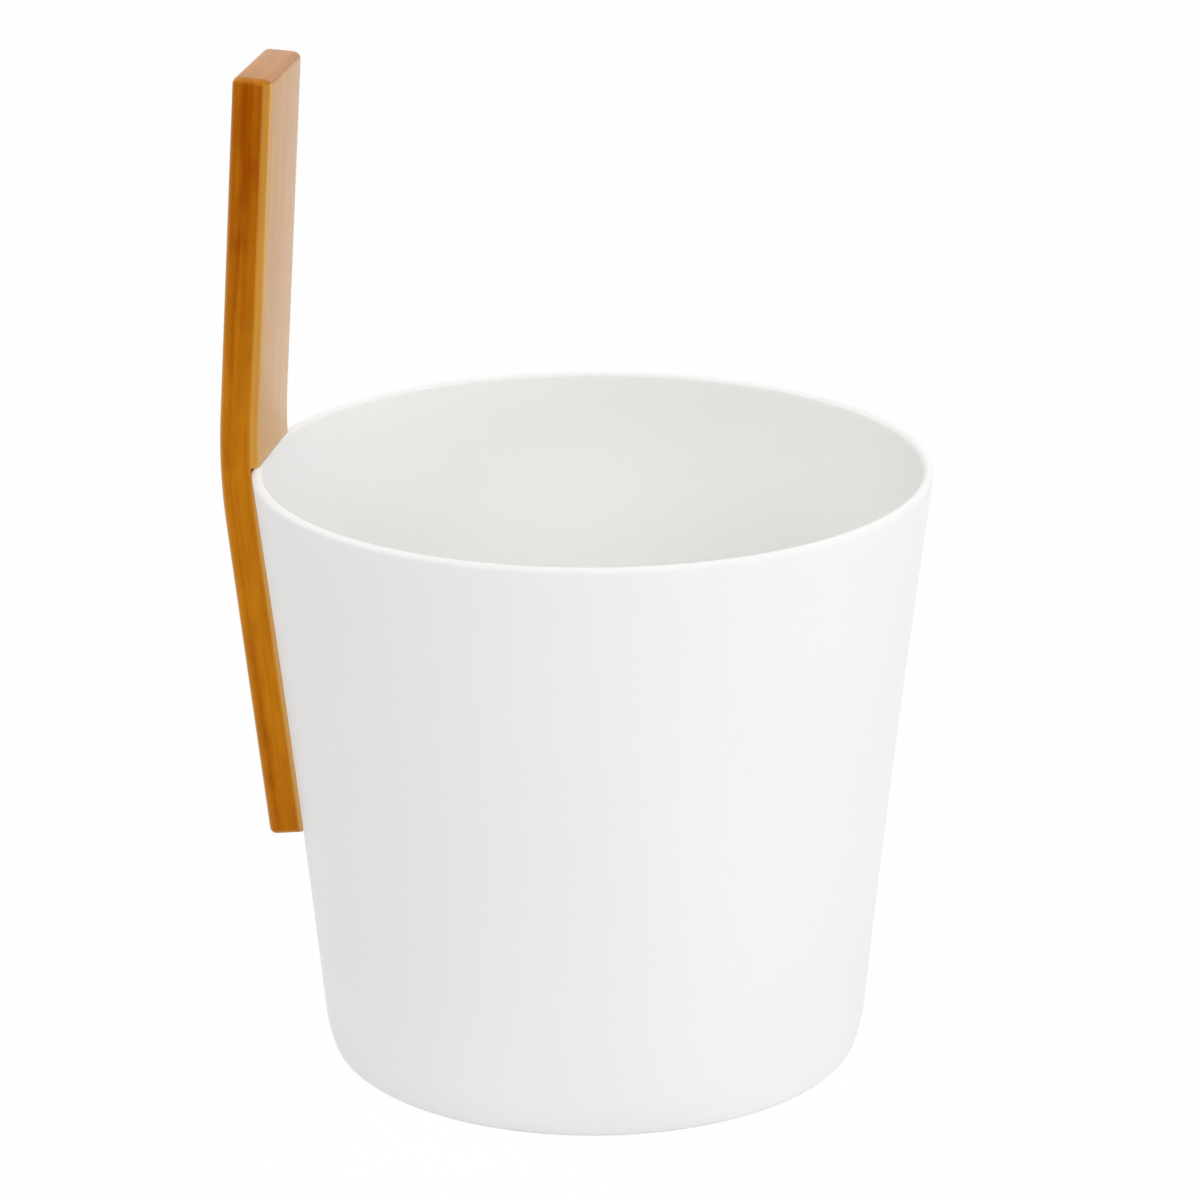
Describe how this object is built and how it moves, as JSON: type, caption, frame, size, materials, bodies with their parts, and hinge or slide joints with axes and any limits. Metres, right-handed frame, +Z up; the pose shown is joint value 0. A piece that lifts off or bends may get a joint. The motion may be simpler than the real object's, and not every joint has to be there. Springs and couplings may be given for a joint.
{
  "type": "sauna bucket",
  "caption": "Round tapered sauna bucket in white coated metal, open at the top, with a bent laminated bamboo handle standing upright on its side.",
  "frame": {"origin": "middle of the flat base, on the surface that the bucket stands on", "axes": "+Z up, out of the open top; the handle stands on the -X side, and the plane Y = 0 halves the object"},
  "size_m": [0.228, 0.2196, 0.3263],
  "materials": {
    "white_coating": "satin",
    "bamboo": "satin",
    "stainless_steel": "satin",
    "insert_brass": "satin",
    "sealing_rubber": "matte"
  },
  "bodies": {
    "root": {"bucket_shell": "white_coating", "handle_outer_lamella": "bamboo", "handle_core_lamella": "bamboo", "handle_inner_lamella": "bamboo", "upper_handle_screw": "stainless_steel", "lower_handle_screw": "stainless_steel", "upper_screw_washer": "stainless_steel", "lower_screw_washer": "stainless_steel", "upper_sealing_ring": "sealing_rubber", "lower_sealing_ring": "sealing_rubber", "upper_threaded_insert": "insert_brass", "lower_threaded_insert": "insert_brass"}
  },
  "joints": []
}
